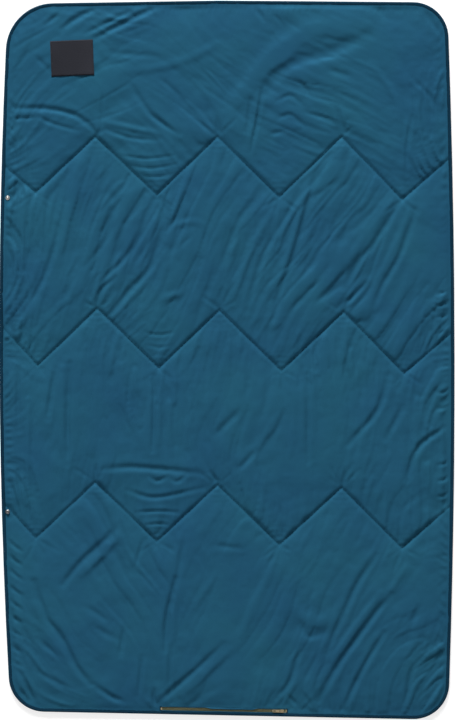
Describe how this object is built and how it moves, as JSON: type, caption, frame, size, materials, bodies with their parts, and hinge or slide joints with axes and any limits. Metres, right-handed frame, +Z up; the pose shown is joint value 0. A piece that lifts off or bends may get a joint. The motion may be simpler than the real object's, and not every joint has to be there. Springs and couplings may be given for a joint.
{
  "type": "quilted camp blanket",
  "caption": "Rectangular padded camp blanket with zigzag quilting, bound edge, side snap, woven label and a zipped stuff pocket along the foot edge.",
  "frame": {"origin": "on the floor under the middle of the flat, face-up blanket", "axes": "+X towards the blanket's right edge seen from above, +Y towards its head end, +Z up out of its face"},
  "size_m": [1.143, 1.8042, 0.0144],
  "materials": {
    "shell_fabric": "satin polyester",
    "back_fabric": "satin polyester",
    "batt": "lofted polyester fibre",
    "binding_tape": "satin tape",
    "thread": "polyester thread",
    "label_weave": "damask weave",
    "label_thread": "polyester thread",
    "pocket_fabric": "plain-woven polyester",
    "zip_tape": "woven tape",
    "zip_coil": "nylon coil",
    "zip_metal": "light brass",
    "nickel": "polished nickel",
    "dark_nickel": "dark nickel"
  },
  "bodies": {
    "foot_half": {"top_shell_foot": "shell_fabric", "back_shell_foot": "back_fabric", "insulation_foot": "batt", "edge_binding_foot": "binding_tape", "binding_stitching_foot": "thread", "quilting_thread_middle_foot": "thread", "quilting_thread_foot": "thread", "snap_socket": "dark_nickel", "snap_socket_rivet": "dark_nickel", "pocket_front_panel": "pocket_fabric", "pocket_back_panel": "pocket_fabric", "pocket_stitching": "thread", "zip_tape_inner": "zip_tape", "zip_tape_outer": "zip_tape", "zip_coil_inner": "zip_coil", "zip_coil_outer": "zip_coil", "zip_bottom_stop": "zip_metal", "zip_top_stops": "zip_metal", "zip_stitching": "thread", "zip_bartacks": "thread"},
    "head_half": {"top_shell_head": "shell_fabric", "back_shell_head": "back_fabric", "insulation_head": "batt", "edge_binding_head": "binding_tape", "binding_stitching_head": "thread", "quilting_thread_head": "thread", "quilting_thread_middle_head": "thread", "woven_label": "label_weave", "label_stitching": "label_thread", "snap_stud": "nickel", "snap_stud_rivet": "nickel"},
    "zip_slider": {"zip_slider": "zip_metal"},
    "pull_tab": {"zip_pull_tab": "zip_metal"}
  },
  "joints": [
    {"name": "mid_fold", "type": "hinge", "parent": "foot_half", "child": "head_half", "pos_m": [0, 0.012, 0.014], "axis": [1, 0, 0], "range_deg": [0, 180]},
    {"name": "zip_slide", "type": "slide", "parent": "foot_half", "child": "zip_slider", "axis": [-0.9998, 0.02, 0], "range_m": [0, 0.292]},
    {"name": "pull_tab_pivot", "type": "hinge", "parent": "zip_slider", "child": "pull_tab", "pos_m": [0.13797, -0.88214, 0.0091], "axis": [0.02, 0.9998, 0], "range_deg": [0, 180]}
  ]
}
